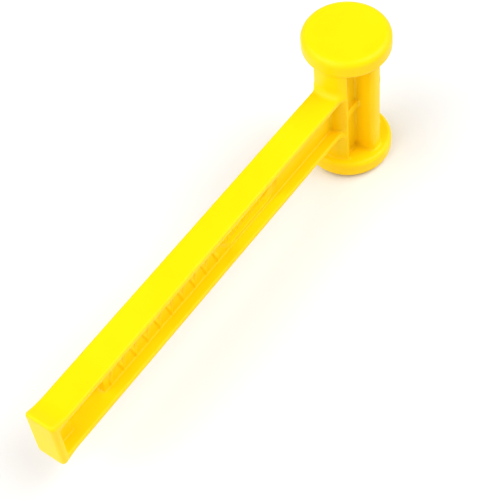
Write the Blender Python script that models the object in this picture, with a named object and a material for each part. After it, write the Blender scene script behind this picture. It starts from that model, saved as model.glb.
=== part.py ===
"""One-piece plastic mallet with a cored round head and an I-section handle.

Frame: metres, +Z along the head from the lower striking face (Z = 0) to the upper one,
the handle runs towards -X from the middle of the head, and Y is across the web.
The mallet is a single moulding; each object below is one member of it (a disc, a rib,
a flange, a web panel), kept a small seam away from its neighbours.
"""
import math

import bmesh
import bpy

# ---- driving dimensions, in metres ----
SEAM = 0.0003                  # clearance between neighbouring members

HEAD_LENGTH = 0.095            # from striking face to striking face
DISC_RADIUS = 0.025
DISC_THICKNESS = 0.0113
DISC_FACE_ROUND = 0.0040       # rounding of the rim at the striking face
DISC_BACK_ROUND = 0.0026       # rounding of the rim behind the disc

BARREL_RADIUS = 0.020
MIDDLE_RIB_HALF = 0.0043       # the middle rib spans -this..+this in X
SLOT_OUTER = 0.0152            # the slots run from MIDDLE_RIB_HALF to this in X
MIDDLE_RIB_ROUND = 0.0025      # rounding where a slot breaks through the barrel
OUTER_RIB_ROUND = 0.0010
BARREL_WEB_HALF = 0.0080
CROSS_RIB_HALF = 0.0026        # half of its thickness along the head
CROSS_RIB_REACH = 0.0104       # how far it stands out from the centre plane

HANDLE_END = 0.266             # from the head's axis to the handle's end face
HANDLE_HALF_ROOT = 0.0157      # half of the handle's width at the head
HANDLE_HALF_TIP = 0.0152       # half of its width just before the flare
THICK_HALF_ROOT = 0.0085       # half of the handle's thickness, at the same two places
THICK_HALF_TIP = 0.0090
FLANGE_THICKNESS = 0.0034
WEB_HALF = 0.0018
FLARE_START = 0.252            # where the handle's end starts to widen
FLARE_WIDTH = 0.0037           # how much each side widens, along the head
FLARE_THICK = 0.0004           # how much each side widens, across the web
END_WALL = 0.0045
END_ROUND = 0.0026
END_CORNER = 0.0034            # rounding of the end wall, seen along the handle
ROOT_FILLET = 0.0045           # between the flanges' outer faces and the barrel

OVAL_CENTRE = 0.0990           # distances from the head's axis
OVAL_LENGTH = 0.0524
OVAL_HEIGHT = 0.0213
WINDOW_START = 0.2242
WINDOW_END = 0.2499

GRIP_RIB_START = 0.1290        # zigzag ribs on the grip's web
GRIP_RIB_PITCH = 0.0050        # from one bend to the next
GRIP_RIB_BENDS = 19
GRIP_RIB_REACH = 0.0080        # bends lie this far above and below the centre line
GRIP_RIB_HALF = 0.0009
GRIP_RIB_HEIGHT = 0.0007

CENTRE_Z = HEAD_LENGTH / 2     # height of the handle's centre line
DISC_STEPS = 72
ARC_STEPS = 5
BARREL_STEPS = 16              # along the round side of an outer rib
MIDDLE_RIB_STEPS = 4           # along each round end of the middle rib
OVAL_STEPS = 16                # along each half circle of the oval opening
SIDE_COLUMNS = 8               # strips across a flange's thickness

YELLOW = (0.98, 0.64, 0.004, 1.0)
ROUGHNESS = 0.35
SHARP_ANGLE = math.radians(35)


# ---- helpers ----
def plastic():
    """The moulding's yellow plastic."""
    material = bpy.data.materials.new("yellow_plastic")
    material.use_nodes = True
    shader = material.node_tree.nodes["Principled BSDF"]
    shader.inputs["Base Color"].default_value = YELLOW
    shader.inputs["Roughness"].default_value = ROUGHNESS
    shader.inputs["Metallic"].default_value = 0.0
    return material


def add_object(name, bm, material):
    """Turn a closed bmesh into a named object with smooth sides and sharp edges."""
    bmesh.ops.recalc_face_normals(bm, faces=bm.faces)
    mesh = bpy.data.meshes.new(name)
    bm.to_mesh(mesh)
    bm.free()
    mesh.shade_smooth()
    mesh.set_sharp_from_angle(angle=SHARP_ANGLE)
    mesh.materials.append(material)
    obj = bpy.data.objects.new(name, mesh)
    bpy.context.scene.collection.objects.link(obj)
    return obj


def loft(name, rings, material):
    """A closed body through rings of equal count, with both ends capped."""
    bm = bmesh.new()
    loops = [[bm.verts.new(point) for point in ring] for ring in rings]
    count = len(rings[0])
    for low, high in zip(loops, loops[1:]):
        for i in range(count):
            j = (i + 1) % count
            bm.faces.new((low[i], low[j], high[j], high[i]))
    bm.faces.new(loops[0])
    bm.faces.new(loops[-1])
    return add_object(name, bm, material)


def arc(centre, radius, start, end, steps):
    """Points along an arc, angles in radians, both ends included."""
    angles = [start + (end - start) * k / steps for k in range(steps + 1)]
    return [(centre[0] + radius * math.cos(a), centre[1] + radius * math.sin(a)) for a in angles]


def mirrored(points):
    """The same points with the second coordinate negated, in reverse order."""
    return [(u, -v) for u, v in reversed(points)]


def upright(outline, low, high):
    """Two rings of an outline in X and Y, at two heights."""
    return [[(x, y, z) for x, y in outline] for z in (low, high)]


def across(outline, near, far):
    """Two rings of an outline in X and Z, at two places along Y."""
    return [[(x, y, z) for x, z in outline] for y in (near, far)]


# ---- head ----
def striking_disc(name, face_z, towards, material):
    """A turned disc with its striking face at face_z; towards is +1 if it faces +Z."""
    back_z = face_z - towards * DISC_THICKNESS
    face_arc = arc((DISC_RADIUS - DISC_FACE_ROUND, -DISC_FACE_ROUND), DISC_FACE_ROUND,
                   math.pi / 2, 0, ARC_STEPS)
    back_arc = arc((DISC_RADIUS - DISC_BACK_ROUND, DISC_BACK_ROUND), DISC_BACK_ROUND,
                   0, -math.pi / 2, ARC_STEPS)
    profile = [(radius, face_z + towards * depth) for radius, depth in face_arc]
    profile += [(radius, back_z + towards * depth) for radius, depth in back_arc]
    rings = []
    for radius, z in profile:
        angles = [2 * math.pi * k / DISC_STEPS for k in range(DISC_STEPS)]
        rings.append([(radius * math.cos(a), radius * math.sin(a), z) for a in angles])
    loft(name, rings, material)


def slot_edge(wall, outward, radius):
    """The rounded edge between a slot's wall at X = wall and the barrel, on the +Y side.

    outward is +1 where the material lies on the slot's outer side, -1 on its inner side.
    """
    centre_x = wall + outward * radius
    reach = BARREL_RADIUS - radius
    centre_y = math.sqrt(reach ** 2 - centre_x ** 2)
    at_wall = math.pi if outward > 0 else 0.0
    at_barrel = math.atan2(centre_y, centre_x)
    return arc((centre_x, centre_y), radius, at_wall, at_barrel, ARC_STEPS), at_barrel


def barrel_ribs(low, high, material):
    """The middle rib and the two outer segments of the barrel."""
    edge, angle = slot_edge(SLOT_OUTER, 1, OUTER_RIB_ROUND)
    crown = edge + arc((0, 0), BARREL_RADIUS, angle, -angle, BARREL_STEPS)[1:-1] + mirrored(edge)
    loft("barrel_crown_rib", upright(crown, low, high), material)
    loft("barrel_handle_rib", upright([(-x, y) for x, y in crown], low, high), material)

    edge, angle = slot_edge(MIDDLE_RIB_HALF, -1, MIDDLE_RIB_ROUND)
    top = edge + arc((0, 0), BARREL_RADIUS, angle, math.pi - angle, MIDDLE_RIB_STEPS)[1:-1]
    top += [(-x, y) for x, y in reversed(edge)]
    middle = top + [(-x, -y) for x, y in top]
    loft("barrel_middle_rib", upright(middle, low, high), material)


def barrel_webs(low, high, material):
    """Between the ribs: thick webs on the centre plane, parted by a cross rib."""
    inner = MIDDLE_RIB_HALF + SEAM
    outer = SLOT_OUTER - SEAM
    stretches = {
        "lower": (low, CENTRE_Z - CROSS_RIB_HALF - SEAM),
        "upper": (CENTRE_Z + CROSS_RIB_HALF + SEAM, high),
    }
    for side, sign in (("crown", 1), ("handle", -1)):
        ends = sorted((sign * inner, sign * outer))
        for level, (bottom, top) in stretches.items():
            block("barrel_web_%s_%s" % (side, level), ends,
                  (-BARREL_WEB_HALF, BARREL_WEB_HALF), (bottom, top), material)
        block("barrel_cross_rib_%s" % side, ends, (-CROSS_RIB_REACH, CROSS_RIB_REACH),
              (CENTRE_Z - CROSS_RIB_HALF, CENTRE_Z + CROSS_RIB_HALF), material)


def block(name, span_x, span_y, span_z, material):
    """A rectangular member between two values along each axis."""
    outline = [(span_x[0], span_y[0]), (span_x[1], span_y[0]),
               (span_x[1], span_y[1]), (span_x[0], span_y[1])]
    loft(name, upright(outline, *span_z), material)


# ---- handle ----
def flare(distance):
    """0 before the flare, rising smoothly to 1 at the handle's end."""
    along = (distance - FLARE_START) / (HANDLE_END - FLARE_START)
    return max(0.0, along) ** 2


def tapered(root, tip, distance):
    """A size that changes evenly from the head to where the flare starts."""
    return root + (tip - root) * (distance - BARREL_RADIUS) / (FLARE_START - BARREL_RADIUS)


def half_width(distance):
    """Half of the handle's width, at a distance from the head's axis."""
    return tapered(HANDLE_HALF_ROOT, HANDLE_HALF_TIP, distance) + FLARE_WIDTH * flare(distance)


def half_thickness(distance):
    """Half of the handle's thickness across the web."""
    return tapered(THICK_HALF_ROOT, THICK_HALF_TIP, distance) + FLARE_THICK * flare(distance)


def inner_half(distance):
    """From the handle's centre line to a flange's inner face, which doesn't flare."""
    return tapered(HANDLE_HALF_ROOT, HANDLE_HALF_TIP, distance) - FLANGE_THICKNESS


def barrel_surface(y):
    """X of the barrel's surface on the handle's side, one seam out."""
    return -math.sqrt((BARREL_RADIUS + SEAM) ** 2 - y ** 2)


def flange_stretch(name, side, distances, on_barrel, material):
    """A stretch of flange through the given distances; side is +1 above, -1 below.

    Where on_barrel is true it begins on the barrel's round surface.
    """
    bm = bmesh.new()
    faces = {"outer": [], "inner": []}
    for j in range(SIDE_COLUMNS + 1):
        share = 2 * j / SIDE_COLUMNS - 1
        places = [(-d, share * half_thickness(d)) for d in distances]
        if on_barrel:
            y = share * THICK_HALF_ROOT
            places.insert(0, (barrel_surface(y), y))
        for face, half in (("outer", half_width), ("inner", inner_half)):
            column = [bm.verts.new((x, y, CENTRE_Z + side * half(-x))) for x, y in places]
            faces[face].append(column)
    outer, inner = faces["outer"], faces["inner"]
    rows = len(outer[0])
    for grid in (outer, inner):
        for left, right in zip(grid, grid[1:]):
            for i in range(rows - 1):
                bm.faces.new((left[i], left[i + 1], right[i + 1], right[i]))
    for column in (0, SIDE_COLUMNS):
        for i in range(rows - 1):
            bm.faces.new((outer[column][i], outer[column][i + 1],
                          inner[column][i + 1], inner[column][i]))
    for row in (0, rows - 1):
        for j in range(SIDE_COLUMNS):
            bm.faces.new((outer[j][row], outer[j + 1][row], inner[j + 1][row], inner[j][row]))
    add_object(name, bm, material)


def flange(level, side, material):
    """A flange from the barrel to where the flare starts, and its flared end behind that."""
    straight = [BARREL_RADIUS + ROOT_FILLET, FLARE_START - SEAM / 2]
    flange_stretch("handle_flange_" + level, side, straight, True, material)
    first = FLARE_START + SEAM / 2
    last = HANDLE_END - END_WALL - SEAM
    flared = [first + (last - first) * k / ARC_STEPS for k in range(ARC_STEPS + 1)]
    flange_stretch("handle_flare_" + level, side, flared, False, material)


def root_fillet(name, side, material):
    """The concave fillet between a flange's outer face and the barrel."""
    rings = []
    for j in range(SIDE_COLUMNS + 1):
        y = (2 * j / SIDE_COLUMNS - 1) * THICK_HALF_ROOT
        corner_x = barrel_surface(y)
        corner_z = half_width(BARREL_RADIUS) + SEAM
        centre = (corner_x - ROOT_FILLET, corner_z + ROOT_FILLET)
        curve = arc(centre, ROOT_FILLET, 0, -math.pi / 2, ARC_STEPS)
        toe = curve[-1][0]
        outline = [(corner_x, corner_z)] + curve[:-1]
        outline += [(toe, corner_z + SEAM), (toe, half_width(-toe) + SEAM)]
        rings.append([(x, y, CENTRE_Z + side * z) for x, z in outline])
    loft(name, rings, material)


def oval_edge(end):
    """Half of the oval opening's outline, bulging towards -X (end = -1) or +X (end = 1).

    Points run from below the centre line to above it, as X and Z.
    """
    radius = OVAL_HEIGHT / 2
    centre_x = -OVAL_CENTRE + end * (OVAL_LENGTH / 2 - radius)
    points = arc((centre_x, 0), radius, -math.pi / 2, math.pi / 2, OVAL_STEPS)
    if end < 0:
        points = [(2 * centre_x - x, z) for x, z in points]
    return points


def web_edge(distance, side):
    """A point just clear of a flange's inner face, as X and Z from the centre line."""
    return (-distance, side * (inner_half(distance) - SEAM))


def web_panel(name, outline, material):
    """A panel of the handle's web on the centre plane."""
    placed = [(x, CENTRE_Z + z) for x, z in outline]
    loft(name, across(placed, -WEB_HALF, WEB_HALF), material)


def handle_webs(material):
    """Neck, grip and end panels, parted by the oval opening and the square window."""
    root = BARREL_RADIUS + SEAM
    parting = OVAL_CENTRE - SEAM / 2
    neck = [web_edge(root, -1), web_edge(parting, -1), (-parting, -OVAL_HEIGHT / 2)]
    neck += oval_edge(1)
    neck += [(-parting, OVAL_HEIGHT / 2), web_edge(parting, 1), web_edge(root, 1)]
    web_panel("handle_web_neck", neck, material)

    parting = OVAL_CENTRE + SEAM / 2
    grip = [web_edge(WINDOW_START, -1), web_edge(parting, -1), (-parting, -OVAL_HEIGHT / 2)]
    grip += oval_edge(-1)
    grip += [(-parting, OVAL_HEIGHT / 2), web_edge(parting, 1), web_edge(WINDOW_START, 1)]
    web_panel("handle_web_grip", grip, material)

    last = HANDLE_END - END_WALL - SEAM
    stations = [WINDOW_END, FLARE_START, (FLARE_START + last) / 2, last]
    end = [web_edge(d, -1) for d in stations] + [web_edge(d, 1) for d in reversed(stations)]
    web_panel("handle_web_end", end, material)


def end_wall(material):
    """The flared wall that closes the handle's end, with rounded edges."""
    back = HANDLE_END - END_WALL
    stations = [(back, 0.0)]
    for depth, inset in arc((END_ROUND, END_ROUND), END_ROUND, -math.pi / 2, -math.pi, ARC_STEPS):
        stations.append((HANDLE_END - depth, inset))
    rings = []
    for distance, inset in stations:
        half_z = half_width(distance) - inset
        half_y = half_thickness(distance) - inset
        corner = END_CORNER - inset
        ring = []
        for quarter, (sign_y, sign_z) in enumerate(((1, 1), (-1, 1), (-1, -1), (1, -1))):
            centre = (sign_y * (half_y - corner), sign_z * (half_z - corner))
            start = quarter * math.pi / 2
            ring += arc(centre, corner, start, start + math.pi / 2, ARC_STEPS)
        rings.append([(-distance, y, CENTRE_Z + z) for y, z in ring])
    loft("handle_end_wall", rings, material)


def grip_ribs(name, side, material):
    """A zigzag rib on the grip's web; side is -1 on the -Y face, +1 on the +Y face."""
    bends = []
    for k in range(GRIP_RIB_BENDS):
        up = 1 if k % 2 else -1
        bends.append((-(GRIP_RIB_START + k * GRIP_RIB_PITCH), up * GRIP_RIB_REACH))
    slope = math.atan2(2 * GRIP_RIB_REACH, GRIP_RIB_PITCH)
    miter = GRIP_RIB_HALF / math.cos(slope)
    above = [(x, z + miter) for x, z in bends]
    below = [(x, z - miter) for x, z in reversed(bends)]
    outline = [(x, CENTRE_Z + z) for x, z in above + below]
    near = side * (WEB_HALF + SEAM)
    far = near + side * GRIP_RIB_HEIGHT
    loft(name, across(outline, near, far), material)


def main():
    for obj in list(bpy.data.objects):
        bpy.data.objects.remove(obj, do_unlink=True)
    material = plastic()

    striking_disc("striking_disc_lower", 0.0, -1, material)
    striking_disc("striking_disc_upper", HEAD_LENGTH, 1, material)
    low = DISC_THICKNESS + SEAM
    high = HEAD_LENGTH - low
    barrel_ribs(low, high, material)
    barrel_webs(low, high, material)

    flange("upper", 1, material)
    flange("lower", -1, material)
    root_fillet("handle_root_fillet_upper", 1, material)
    root_fillet("handle_root_fillet_lower", -1, material)
    handle_webs(material)
    end_wall(material)
    grip_ribs("grip_ribs_front", -1, material)
    grip_ribs("grip_ribs_back", 1, material)


main()
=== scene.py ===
import math

import bpy
import numpy as np
from mathutils import Matrix, Vector


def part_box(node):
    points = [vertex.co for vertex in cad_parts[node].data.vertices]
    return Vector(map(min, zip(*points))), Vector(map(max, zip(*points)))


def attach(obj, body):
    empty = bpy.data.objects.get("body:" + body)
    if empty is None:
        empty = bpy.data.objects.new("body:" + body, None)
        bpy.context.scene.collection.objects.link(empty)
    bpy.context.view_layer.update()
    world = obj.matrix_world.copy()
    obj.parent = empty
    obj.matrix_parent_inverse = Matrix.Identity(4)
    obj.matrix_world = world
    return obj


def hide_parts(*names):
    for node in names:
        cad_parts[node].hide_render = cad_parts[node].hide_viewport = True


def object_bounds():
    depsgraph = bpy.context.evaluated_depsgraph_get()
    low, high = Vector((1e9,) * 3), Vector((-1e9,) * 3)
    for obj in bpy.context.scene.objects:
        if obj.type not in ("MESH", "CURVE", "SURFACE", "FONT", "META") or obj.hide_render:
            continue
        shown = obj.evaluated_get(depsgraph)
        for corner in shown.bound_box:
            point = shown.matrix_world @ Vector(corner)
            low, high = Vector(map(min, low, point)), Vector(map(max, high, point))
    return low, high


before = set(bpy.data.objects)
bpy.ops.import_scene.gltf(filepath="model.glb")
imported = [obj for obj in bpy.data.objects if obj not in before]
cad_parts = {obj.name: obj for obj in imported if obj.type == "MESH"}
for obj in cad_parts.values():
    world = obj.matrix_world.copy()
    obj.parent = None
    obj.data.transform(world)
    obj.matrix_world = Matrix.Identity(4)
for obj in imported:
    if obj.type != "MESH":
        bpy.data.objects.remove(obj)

CAD_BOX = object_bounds()


# ---- sizes, in metres, from the frame ----
def span(node, axis):
    """The lowest and highest value of a node along an axis."""
    low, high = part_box(node)
    return low["xyz".index(axis)], high["xyz".index(axis)]


HEAD_HALF = (CAD_BOX[1].z - CAD_BOX[0].z) / 2
CENTRE_Z = (CAD_BOX[1].z + CAD_BOX[0].z) / 2
DISC_RADIUS = span("striking_disc_upper", "x")[1]
DISC_THICKNESS = span("striking_disc_lower", "z")[1] - CAD_BOX[0].z
BARREL_RADIUS = span("barrel_crown_rib", "x")[1]
MIDDLE_RIB_HALF = span("barrel_middle_rib", "x")[1]
SLOT_OUTER = span("barrel_crown_rib", "x")[0]
BARREL_WEB_HALF = span("barrel_web_crown_upper", "y")[1]
CROSS_RIB_HALF = span("barrel_cross_rib_crown", "z")[1] - CENTRE_Z
CROSS_RIB_REACH = span("barrel_cross_rib_crown", "y")[1]
HANDLE_END = -CAD_BOX[0].x
END_WALL = HANDLE_END + span("handle_end_wall", "x")[1]
WEB_HALF = span("handle_web_grip", "y")[1]
WINDOW_START = -span("handle_web_grip", "x")[0]
WINDOW_END = -span("handle_web_end", "x")[1]

# ---- sizes that no box gives, as in the CAD ----
DISC_FACE_ROUND = 0.0040
DISC_BACK_ROUND = 0.0026
MIDDLE_RIB_ROUND = 0.0025
OUTER_RIB_ROUND = 0.0010
HANDLE_HALF_ROOT = 0.0157
HANDLE_HALF_TIP = 0.0152
THICK_HALF_ROOT = 0.0085
THICK_HALF_TIP = 0.0090
FLANGE_THICKNESS = 0.0034
FLARE_START = 0.252
FLARE_WIDTH = 0.0037
FLARE_THICK = 0.0004
END_ROUND = 0.0026
END_CORNER = 0.0034
ROOT_FILLET = 0.0045
OVAL_CENTRE = 0.0990
OVAL_LENGTH = 0.0524
OVAL_HEIGHT = 0.0213
GRIP_RIB_START = 0.1290
GRIP_RIB_PITCH = 0.0050
GRIP_RIB_BENDS = 19
GRIP_RIB_REACH = 0.0080
GRIP_RIB_HALF = 0.0009
GRIP_RIB_HEIGHT = 0.0007

# ---- the moulding's small radii, and where its members give way to each other ----
HEAD_FILLET = 0.0014           # barrel to discs
SLOT_FILLET = 0.0015           # along the bottom of a slot
CROSS_RIB_FILLET = 0.0016
CROSS_RIB_ROUND = 0.0007
FLANGE_ROUND = 0.0012          # outer edges of the flanges
POCKET_ROUND = 0.0009          # inner edges of the flanges
WEB_FILLET = 0.0010            # web to flanges
POCKET_FILLET = 0.0016         # web and flanges to the barrel, inside the pockets
WALL_FILLET = 0.0020           # flanges to the end wall
WINDOW_CORNER = 0.0030
OPENING_ROUND = 0.0005         # edges of the oval and the window
GRIP_RIB_ROUND = 0.0006
GRIP_RIB_FILLET = 0.0009
HANDLE_ROOT = 0.0173           # the handle starts here, inside the barrel
HANDLE_ZONE = HANDLE_HALF_ROOT + 2 * ROOT_FILLET    # the handle and its fillets reach no further up
GRIP_RIB_MARGIN = 3 * GRIP_RIB_HALF                 # round the first and last bend

# ---- the grid ----
CELL = 0.0006    # grid spacing
MARGIN = 3                     # empty cells round the object
SLAB = 16                      # grid layers worked out at a time
GRADIENT_STEP = CELL / 30
SETTLE_ROUNDS = 4              # moves of a point onto the surface
LEAST_SLOPE = 0.1              # keeps those moves short where the field is nearly level
SHORTEST_MOVE = 1e-9
RELAX_ROUNDS = 8               # evenings out of a point inside the moulding
TINY = 1e-12                   # keeps a division by a length of 0 from failing


# ---- distance fields: below 0 inside, above 0 outside ----
def union(a, b, radius):
    """Two shapes together, with a concave fillet where they meet."""
    near_a = np.maximum(radius - a, 0.0)
    near_b = np.maximum(radius - b, 0.0)
    return np.maximum(radius, np.minimum(a, b)) - np.sqrt(near_a ** 2 + near_b ** 2)


def common(a, b, radius):
    """What two shapes share, with a rounded edge where they meet."""
    return -union(-a, -b, radius)


def ramp(value):
    """0 below 0, 1 above 1, and smooth between."""
    share = np.clip(value, 0.0, 1.0)
    return share * share * (3 - 2 * share)


def barrel_rib(x, y, wall, side, radius):
    """A lengthwise rib of the barrel with rounded edges, for x and y above 0.

    It lies below the wall in x where side is 1, and beyond it where side is -1. The rib is first
    drawn in by the radius, which leaves sharp corners, and then grown back.
    """
    reach = BARREL_RADIUS - radius
    corner_x = wall - side * radius
    corner_y = math.sqrt(reach ** 2 - corner_x ** 2)
    beyond = side * (x - corner_x)
    past_corner = (side * (x * corner_y - y * corner_x) > 0) & (y > corner_y)
    flat_or_round = np.maximum(np.hypot(x, y) - reach, beyond)
    return np.where(past_corner, np.hypot(beyond, y - corner_y), flat_or_round) - radius


def head(x, y, up):
    """The barrel with its slots, webs and cross ribs, and both discs.

    up is the height above or below mid-length, never negative, so that both ends are alike.
    """
    across, side = np.abs(x), np.abs(y)
    ribs = np.minimum(barrel_rib(across, side, MIDDLE_RIB_HALF, 1, MIDDLE_RIB_ROUND),
                      barrel_rib(across, side, SLOT_OUTER, -1, OUTER_RIB_ROUND))
    between = across - SLOT_OUTER - SLOT_FILLET
    web = np.maximum(side - BARREL_WEB_HALF, between)
    cross_rib = common(side - CROSS_RIB_REACH, up - CROSS_RIB_HALF, CROSS_RIB_ROUND)
    barrel = union(ribs, web, SLOT_FILLET)
    barrel = union(barrel, np.maximum(cross_rib, between), CROSS_RIB_FILLET)
    barrel_end = HEAD_HALF - DISC_THICKNESS / 2
    barrel = np.maximum(barrel, up - barrel_end)
    disc = common(np.hypot(x, y) - DISC_RADIUS, up - HEAD_HALF, DISC_FACE_ROUND)
    disc = common(disc, HEAD_HALF - DISC_THICKNESS - up, DISC_BACK_ROUND)
    return union(barrel, disc, HEAD_FILLET)


def flare(distance):
    """0 before the flare, rising smoothly to 1 at the handle's end."""
    return np.maximum((distance - FLARE_START) / (HANDLE_END - FLARE_START), 0.0) ** 2


def tapered(root, tip, distance):
    """A size that changes evenly from the head to where the flare starts."""
    return root + (tip - root) * (distance - BARREL_RADIUS) / (FLARE_START - BARREL_RADIUS)


def half_width(distance):
    """Half of the handle's width, at a distance from the head's axis."""
    return tapered(HANDLE_HALF_ROOT, HANDLE_HALF_TIP, distance) + FLARE_WIDTH * flare(distance)


def inner_half(distance):
    """From the handle's centre line to a flange's inner face, which doesn't flare."""
    return tapered(HANDLE_HALF_ROOT, HANDLE_HALF_TIP, distance) - FLANGE_THICKNESS


def half_thickness(distance):
    """Half of the handle's thickness across the web."""
    return tapered(THICK_HALF_ROOT, THICK_HALF_TIP, distance) + FLARE_THICK * flare(distance)


def zigzag(distance, z):
    """Distance in the web's plane from the line along which the grip ribs run."""
    bends = GRIP_RIB_BENDS - 1
    along = (distance - GRIP_RIB_START) / GRIP_RIB_PITCH
    fold = np.abs(np.mod(np.clip(along, 0, bends) + 1, 2) - 1)
    beyond = np.maximum(np.maximum(-along, along - bends), 0.0) * GRIP_RIB_PITCH
    rise = 2 * GRIP_RIB_REACH
    level = fold * rise - GRIP_RIB_REACH
    slope = GRIP_RIB_PITCH / math.hypot(GRIP_RIB_PITCH, rise)
    return np.hypot((z - CENTRE_Z - level) * slope, beyond)


def handle(x, y, z, up):
    """The I-section handle with its openings, flared end and grip ribs."""
    distance = -x
    side = np.abs(y)
    width = half_width(distance)
    inner = inner_half(distance)
    edge_round = FLANGE_ROUND + (END_CORNER - FLANGE_ROUND) * flare(distance)
    bar = common(up - width, side - half_thickness(distance), edge_round)
    bar = common(bar, distance - HANDLE_END, END_ROUND)
    bar = np.maximum(bar, HANDLE_ROOT - distance)

    radius = OVAL_HEIGHT / 2
    straight = OVAL_LENGTH / 2 - radius
    oval = np.hypot(np.maximum(np.abs(distance - OVAL_CENTRE) - straight, 0.0), up) - radius
    middle = (WINDOW_START + WINDOW_END) / 2
    window = common(np.abs(distance - middle) - (WINDOW_END - middle), up - inner - WEB_FILLET,
                    WINDOW_CORNER)
    web = common(side - WEB_HALF, -np.minimum(oval, window), OPENING_ROUND)

    ribs = common(zigzag(distance, z) - GRIP_RIB_HALF, side - WEB_HALF - GRIP_RIB_HEIGHT,
                  GRIP_RIB_ROUND)
    web = union(web, ribs, GRIP_RIB_FILLET)
    frame_walls = union(inner - up, HANDLE_END - END_WALL - distance, WALL_FILLET)
    return common(bar, union(frame_walls, web, WEB_FILLET), POCKET_ROUND)


def moulding(x, y, z):
    """Distance to the whole mallet's surface."""
    up = np.abs(z - CENTRE_Z)
    outside = ramp((up - inner_half(-x)) / FLANGE_THICKNESS)
    outside = outside * ramp((-x - SLOT_OUTER) / (HANDLE_ROOT - SLOT_OUTER))
    fillet = POCKET_FILLET + (ROOT_FILLET - POCKET_FILLET) * outside
    return union(head(x, y, up), handle(x, y, z, up), fillet)


# ---- members ----
MEMBERS = ["air"] + list(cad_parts)
NUMBER = {name: number for number, name in enumerate(MEMBERS)}
AIR = NUMBER["air"]


def level_number(stem, z):
    """The number of a member's lower or upper copy, by height."""
    return np.where(z > CENTRE_Z, NUMBER[stem + "_upper"], NUMBER[stem + "_lower"])


def head_member(x, y, z, up):
    """Numbers of the head's members. A fillet between a disc and a slot's wall goes to the disc."""
    across = np.abs(x)
    disc = level_number("striking_disc", z)
    bottom = np.where(
        up > CROSS_RIB_HALF,
        np.where(x > 0, level_number("barrel_web_crown", z), level_number("barrel_web_handle", z)),
        np.where(x > 0, NUMBER["barrel_cross_rib_crown"], NUMBER["barrel_cross_rib_handle"]))
    by_disc = up > HEAD_HALF - DISC_THICKNESS - HEAD_FILLET
    bottom = np.where(by_disc & (np.abs(y) > BARREL_WEB_HALF + SLOT_FILLET), disc, bottom)
    outer = np.where(x > 0, NUMBER["barrel_crown_rib"], NUMBER["barrel_handle_rib"])
    barrel = np.where(across > SLOT_OUTER, outer, bottom)
    barrel = np.where(across < MIDDLE_RIB_HALF, NUMBER["barrel_middle_rib"], barrel)
    return np.where(up > HEAD_HALF - DISC_THICKNESS, disc, barrel)


def handle_member(distance, y, z, up):
    """Numbers of the handle's members."""
    width = half_width(distance)
    inner = inner_half(distance)
    web = np.where(distance < OVAL_CENTRE, NUMBER["handle_web_neck"], NUMBER["handle_web_grip"])
    web = np.where(distance > (WINDOW_START + WINDOW_END) / 2, NUMBER["handle_web_end"], web)
    last_bend = GRIP_RIB_START + (GRIP_RIB_BENDS - 1) * GRIP_RIB_PITCH
    ribbed = (np.abs(distance - (GRIP_RIB_START + last_bend) / 2)
              < (last_bend - GRIP_RIB_START) / 2 + GRIP_RIB_MARGIN)
    proud = ribbed & (np.abs(y) > WEB_HALF) & (up < inner - WEB_FILLET)
    ribs = np.where(y > 0, NUMBER["grip_ribs_back"], NUMBER["grip_ribs_front"])
    member = np.where(proud, ribs, web)
    flange = np.where(distance < FLARE_START, level_number("handle_flange", z),
                      level_number("handle_flare", z))
    member = np.where(up > inner, flange, member)
    by_wall = (distance > WINDOW_END) & (np.abs(y) > WEB_HALF + WEB_FILLET) & (up < inner)
    end = by_wall | (distance > HANDLE_END - END_WALL)
    member = np.where(end, NUMBER["handle_end_wall"], member)
    return np.where(up > width, level_number("handle_root_fillet", z), member)


def member_numbers(x, y, z, inside):
    """The number of the member that holds each point, or AIR."""
    up = np.abs(z - CENTRE_Z)
    on_handle = (x < -BARREL_RADIUS) & (up < HANDLE_ZONE)
    member = np.where(on_handle, handle_member(-x, y, z, up), head_member(x, y, z, up))
    return np.where(inside, member, AIR).astype(np.uint8)


# ---- from the field to meshes ----
def grid_axis(low, high):
    """Grid places along one axis, with the middle of the object in the middle of a cell."""
    cells = math.ceil((high - low) / CELL / 2) * 2 + 2 * MARGIN
    return (low + high) / 2 + CELL * (np.arange(cells) - (cells - 1) / 2)


def sample():
    """The distance and the member's number at each grid point."""
    xs, ys, zs = [grid_axis(CAD_BOX[0][k], CAD_BOX[1][k]) for k in range(3)]
    values = np.empty((len(xs), len(ys), len(zs)))
    members = np.empty(values.shape, np.uint8)
    y, z = ys[None, :, None], zs[None, None, :]
    for start in range(0, len(xs), SLAB):
        x = xs[start:start + SLAB, None, None]
        values[start:start + SLAB] = moulding(x, y, z)
        members[start:start + SLAB] = member_numbers(x, y, z, values[start:start + SLAB] < 0)
    return (xs, ys, zs), values, members


CORNERS = np.array([(i, j, k) for i in (0, 1) for j in (0, 1) for k in (0, 1)])
CELL_EDGES = [(a, b) for a in range(8) for b in range(a + 1, 8)
              if np.abs(CORNERS[a] - CORNERS[b]).sum() == 1]


def corner_view(grid, corner):
    """The grid as each cell sees it from one of its eight corners."""
    return grid[tuple(slice(c, grid.shape[k] - 1 + c) for k, c in enumerate(corner))]


def gradient(points):
    """How the distance changes at each point, along x, y and z, from four points round it."""
    taps = np.array([(1, -1, -1), (-1, -1, 1), (-1, 1, -1), (1, 1, 1)])
    total = np.zeros_like(points)
    for tap in taps:
        total += tap * moulding(*(points + tap * GRADIENT_STEP).T)[:, None]
    return total / (len(taps) * GRADIENT_STEP)


def settle(points):
    """Move points onto the moulding's surface."""
    for _ in range(SETTLE_ROUNDS):
        slope = gradient(points)
        steepness = np.maximum((slope ** 2).sum(1), LEAST_SLOPE)
        move = (moulding(*points.T) / steepness)[:, None] * slope
        length = np.sqrt((move ** 2).sum(1))[:, None]
        points = points - move * np.minimum(1.0, CELL / np.maximum(length, SHORTEST_MOVE))
    return points


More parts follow.
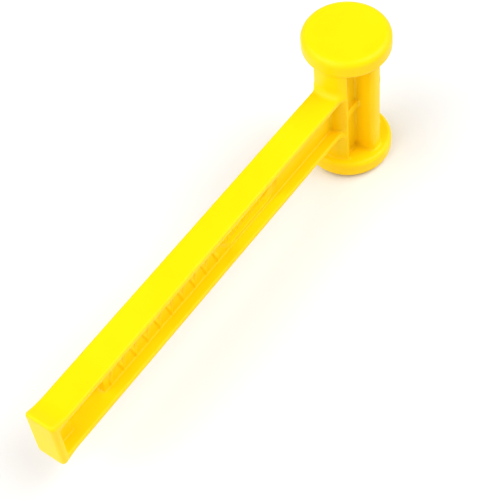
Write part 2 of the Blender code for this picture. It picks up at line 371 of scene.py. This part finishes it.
def make_points(axes, values, members):
    """One point in each cell whose corners are held by more than one member.

    Each cell's point number comes with them, and whether the point is on the moulding's surface.
    """
    first = corner_view(members, CORNERS[0])
    mixed = np.zeros(first.shape, bool)
    for corner in CORNERS[1:]:
        mixed |= corner_view(members, corner) != first
    cells = np.argwhere(mixed)
    number = np.full(mixed.shape, -1)
    number[mixed] = np.arange(len(cells))
    held = np.stack([corner_view(members, corner)[mixed] for corner in CORNERS])
    value = np.stack([corner_view(values, corner)[mixed] for corner in CORNERS])
    surface = (held == AIR).any(0)
    total = np.zeros((len(cells), 3))
    count = np.zeros(len(cells))
    for a, b in CELL_EDGES:
        open_edge = (held[a] == AIR) != (held[b] == AIR)
        crossed = np.where(surface, open_edge, held[a] != held[b])
        gap = np.where(open_edge, value[a] - value[b], 1.0)
        share = np.where(open_edge, value[a] / gap, 0.5)
        place = CORNERS[a] + share[:, None] * (CORNERS[b] - CORNERS[a])
        total += place * crossed[:, None]
        count += crossed
    origin = np.array([axis[0] for axis in axes])
    points = origin + CELL * (cells + total / count[:, None])
    points[surface] = settle(points[surface])
    return points, number, surface


def make_quads(members, number):
    """Faces between grid points that differ: four points, the member inside, the one outside."""
    quads, inner, outer = [], [], []
    for axis in range(3):
        across, upward = np.eye(3, dtype=int)[[(axis + 1) % 3, (axis + 2) % 3]]
        low = members[tuple(slice(0, -1) if k == axis else slice(None) for k in range(3))]
        high = members[tuple(slice(1, None) if k == axis else slice(None) for k in range(3))]
        places = np.argwhere(low != high)
        cells = [places, places - across, places - across - upward, places - upward]
        ring = np.stack([number[tuple(cell.T)] for cell in cells], 1)
        below = low[tuple(places.T)]
        above = high[tuple(places.T)]
        for faces, own, other in ((ring, below, above), (ring[:, ::-1], above, below)):
            kept = own != AIR
            quads.append(faces[kept])
            inner.append(own[kept])
            outer.append(other[kept])
    return np.concatenate(quads), np.concatenate(inner), np.concatenate(outer)


def relax(points, quads, surface):
    """Even out the points that lie inside the moulding, where two members meet."""
    starts = quads.ravel()
    ends = np.roll(quads, 1, axis=1).ravel()
    both = np.concatenate([starts, ends]), np.concatenate([ends, starts])
    kept = ~surface[both[0]]
    own, neighbour = both[0][kept], both[1][kept]
    count = np.bincount(own, minlength=len(points))[:, None]
    for _ in range(RELAX_ROUNDS):
        total = np.stack([np.bincount(own, points[neighbour, k], len(points))
                          for k in range(3)], 1)
        points = np.where(count > 0, total / np.maximum(count, 1), points)
    return points


def member_mesh(name, points, normals, quads, open_faces):
    """A closed mesh with smooth shading outside and flat shading where members meet."""
    used, corners = np.unique(quads, return_inverse=True)
    corners = corners.ravel()
    mesh = bpy.data.meshes.new(name)
    mesh.vertices.add(len(used))
    mesh.vertices.foreach_set("co", points[used].astype(np.float32).ravel())
    mesh.loops.add(len(corners))
    mesh.loops.foreach_set("vertex_index", corners.astype(np.int32))
    mesh.polygons.add(len(quads))
    mesh.polygons.foreach_set("loop_start", np.arange(0, len(corners), 4, dtype=np.int32))
    mesh.update(calc_edges=True)
    mesh.shade_smooth()
    corner_normals = normals[quads].reshape(-1, 3)
    shared = np.repeat(~open_faces, 4)
    ring = points[quads]
    flat = np.cross(ring[:, 2] - ring[:, 0], ring[:, 3] - ring[:, 1])
    flat /= np.maximum(np.linalg.norm(flat, axis=1, keepdims=True), TINY)
    corner_normals[shared] = np.repeat(flat, 4, axis=0)[shared]
    mesh.normals_split_custom_set(corner_normals.tolist())
    return mesh


# ---- materials ----
PLASTIC_IOR = 1.49
PLASTIC_SPECULAR = 0.13
FLOW_SCALE = 28.0              # slow changes of tint and gloss over the moulding
FLOW_DETAIL = 3.0
FLOW_RANGE = (0.35, 0.65)
DEEP_YELLOW = (0.975, 0.625, 0.0008, 1)
PALE_YELLOW = (0.985, 0.65, 0.0015, 1)
ROUGHNESS_RANGE = (0.30, 0.42)
GRAIN_SCALE = 900.0            # the mould's fine texture
GRAIN_DETAIL = 4.0
GRAIN_STRENGTH = 0.15
GRAIN_DEPTH = 0.0001
FLOOR_COLOUR = (0.78, 0.78, 0.78, 1)
FLOOR_ROUGHNESS = 0.9


def yellow_plastic():
    """Satin injection-moulded plastic, patterned in the moulding's own coordinates."""
    material = bpy.data.materials.new("yellow_plastic")
    material.use_nodes = True
    nodes = material.node_tree.nodes
    links = material.node_tree.links
    shader = nodes["Principled BSDF"]
    shader.inputs["IOR"].default_value = PLASTIC_IOR
    shader.inputs["Specular IOR Level"].default_value = PLASTIC_SPECULAR
    place = nodes.new("ShaderNodeTexCoord")

    flow = nodes.new("ShaderNodeTexNoise")
    flow.inputs["Scale"].default_value = FLOW_SCALE
    flow.inputs["Detail"].default_value = FLOW_DETAIL
    links.new(place.outputs["Object"], flow.inputs["Vector"])
    tint = nodes.new("ShaderNodeValToRGB")
    for stop, position, colour in zip(tint.color_ramp.elements, FLOW_RANGE,
                                      (DEEP_YELLOW, PALE_YELLOW)):
        stop.position = position
        stop.color = colour
    links.new(flow.outputs["Fac"], tint.inputs["Fac"])
    links.new(tint.outputs["Color"], shader.inputs["Base Color"])

    grain = nodes.new("ShaderNodeTexNoise")
    grain.inputs["Scale"].default_value = GRAIN_SCALE
    grain.inputs["Detail"].default_value = GRAIN_DETAIL
    links.new(place.outputs["Object"], grain.inputs["Vector"])
    gloss = nodes.new("ShaderNodeMapRange")
    gloss.inputs["To Min"].default_value = ROUGHNESS_RANGE[0]
    gloss.inputs["To Max"].default_value = ROUGHNESS_RANGE[1]
    links.new(flow.outputs["Fac"], gloss.inputs["Value"])
    links.new(gloss.outputs["Result"], shader.inputs["Roughness"])
    bump = nodes.new("ShaderNodeBump")
    bump.inputs["Strength"].default_value = GRAIN_STRENGTH
    bump.inputs["Distance"].default_value = GRAIN_DEPTH
    links.new(grain.outputs["Fac"], bump.inputs["Height"])
    links.new(bump.outputs["Normal"], shader.inputs["Normal"])
    return material


def floor_paint():
    """Plain near-white studio floor."""
    material = bpy.data.materials.new("studio_floor")
    material.use_nodes = True
    shader = material.node_tree.nodes["Principled BSDF"]
    shader.inputs["Base Color"].default_value = FLOOR_COLOUR
    shader.inputs["Roughness"].default_value = FLOOR_ROUGHNESS
    return material


# ---- scene ----
FLOOR_SIZE = 6.0
FLOOR_DROP = 0.0002            # keeps the floor clear of the lower striking face
WALL_LIGHT = 0.58
CEILING_LIGHT = 0.02
WALL_TOP = 0.25                # sine of the elevation up to which the walls are evenly bright
CEILING_START = 0.75           # sine of the elevation from which the ceiling is evenly dim
SOFT_BOX_WIDTH = math.radians(55)
SIDE_ANGLE = math.radians(90)  # of the side lights, from the camera's azimuth
SIDE_ELEVATION = math.radians(52)
LEFT_STRENGTH = 1.43
RIGHT_STRENGTH = 2.6
FRONT_ANGLE = math.radians(50)
FRONT_ELEVATION = math.radians(40)
FRONT_STRENGTH = 1.53

VIEW_AZIMUTH = math.radians(-48.868)
VIEW_ELEVATION = math.radians(53.939)
VIEW_ROLL = math.radians(-6.916)
VIEW_DISTANCE = 0.7867
VIEW_TARGET = Vector((-0.0996, 0.0, 0.0101))
VIEW_LENS = 102.04             # in millimetres
SENSOR_WIDTH = 36.0            # in millimetres


def make_mallet():
    """One piece for each member of the moulding, all on the same body."""
    axes, values, members = sample()
    points, number, surface = make_points(axes, values, members)
    quads, inner, outer = make_quads(members, number)
    points = relax(points, quads, surface)
    normals = np.zeros_like(points)
    normals[surface] = gradient(points[surface])
    normals /= np.maximum(np.linalg.norm(normals, axis=1, keepdims=True), TINY)
    plastic = yellow_plastic()
    for name in MEMBERS[1:]:
        own = inner == NUMBER[name]
        mesh = member_mesh(name, points, normals, quads[own], outer[own] == AIR)
        mesh.materials.append(plastic)
        piece = bpy.data.objects.new("moulded_" + name, mesh)
        bpy.context.scene.collection.objects.link(piece)
        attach(piece, "root")
        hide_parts(name)


def make_floor():
    """The pale floor that the mallet stands on."""
    half = FLOOR_SIZE / 2
    level = CAD_BOX[0].z - FLOOR_DROP
    mesh = bpy.data.meshes.new("studio_floor")
    corners = [(-half, -half, level), (half, -half, level),
               (half, half, level), (-half, half, level)]
    mesh.from_pydata(corners, [], [(0, 1, 2, 3)])
    mesh.materials.append(floor_paint())
    floor = bpy.data.objects.new("studio_floor", mesh)
    bpy.context.scene.collection.objects.link(floor)


def make_sky():
    """White round the horizon, as studio walls, fading to a dim ceiling."""
    scene = bpy.context.scene
    scene.view_settings.view_transform = "Standard"
    scene.world = bpy.data.worlds.new("studio")
    scene.world.use_nodes = True
    nodes = scene.world.node_tree.nodes
    links = scene.world.node_tree.links
    direction = nodes.new("ShaderNodeTexCoord")
    parts = nodes.new("ShaderNodeSeparateXYZ")
    fade = nodes.new("ShaderNodeMapRange")
    fade.interpolation_type = "SMOOTHSTEP"
    fade.inputs["From Min"].default_value = WALL_TOP
    fade.inputs["From Max"].default_value = CEILING_START
    fade.inputs["To Min"].default_value = WALL_LIGHT
    fade.inputs["To Max"].default_value = CEILING_LIGHT
    links.new(direction.outputs["Generated"], parts.inputs["Vector"])
    links.new(parts.outputs["Z"], fade.inputs["Value"])
    links.new(fade.outputs["Result"], nodes["Background"].inputs["Strength"])
    nodes["Background"].inputs["Color"].default_value = (1, 1, 1, 1)


def direction_of(azimuth, elevation):
    """A unit vector towards a place round the object. Azimuth 0 is on the -Y side."""
    level = math.cos(elevation)
    return Vector((math.sin(azimuth) * level, -math.cos(azimuth) * level, math.sin(elevation)))


def make_soft_box(name, azimuth, elevation, strength):
    """A large soft light, high up and far away."""
    lamp = bpy.data.lights.new(name, "SUN")
    lamp.energy = strength
    lamp.angle = SOFT_BOX_WIDTH
    soft_box = bpy.data.objects.new(name, lamp)
    towards = direction_of(azimuth, elevation)
    soft_box.rotation_euler = towards.to_track_quat("Z", "Y").to_euler()
    bpy.context.scene.collection.objects.link(soft_box)


def make_camera():
    """The camera, above and in front of the handle's end, turned a little about its own axis."""
    back = direction_of(VIEW_AZIMUTH, VIEW_ELEVATION)
    right = Vector((math.cos(VIEW_AZIMUTH), math.sin(VIEW_AZIMUTH), 0))
    level = Matrix((right, back.cross(right), back)).transposed()
    turned = level @ Matrix.Rotation(VIEW_ROLL, 3, "Z")
    lens = bpy.data.cameras.new("camera")
    lens.lens = VIEW_LENS
    lens.sensor_width = SENSOR_WIDTH
    camera = bpy.data.objects.new("camera", lens)
    camera.matrix_world = Matrix.Translation(VIEW_TARGET + back * VIEW_DISTANCE) @ turned.to_4x4()
    bpy.context.scene.collection.objects.link(camera)
    bpy.context.scene.camera = camera


make_mallet()
make_floor()
make_sky()
make_soft_box("left_soft_box", VIEW_AZIMUTH - SIDE_ANGLE, SIDE_ELEVATION, LEFT_STRENGTH)
make_soft_box("right_soft_box", VIEW_AZIMUTH + SIDE_ANGLE, SIDE_ELEVATION, RIGHT_STRENGTH)
make_soft_box("front_soft_box", VIEW_AZIMUTH - FRONT_ANGLE, FRONT_ELEVATION, FRONT_STRENGTH)
make_camera()
